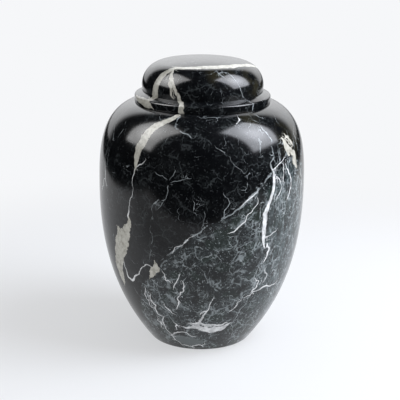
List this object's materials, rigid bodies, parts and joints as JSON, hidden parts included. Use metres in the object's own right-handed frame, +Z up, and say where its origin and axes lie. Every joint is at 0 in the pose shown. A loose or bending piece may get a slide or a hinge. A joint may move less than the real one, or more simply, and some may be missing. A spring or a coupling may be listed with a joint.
{
  "type": "cremation urn",
  "caption": "Turned black marble cremation urn with pale veins: a hollow ovoid jar on a small flat foot, with a lift-off lid that has a flat-topped dome and a flange.",
  "frame": {"origin": "centre of the flat underside, on the surface that the urn stands on", "axes": "+Z up along the turning axis; -Y is the side with the broad veins and faces the viewer"},
  "size_m": [0.193, 0.193, 0.27],
  "materials": {
    "black_marble": "polished, veined in cream and bluish white"
  },
  "bodies": {
    "root": {"urn_body": "black_marble", "urn_lid": "black_marble"}
  },
  "joints": []
}
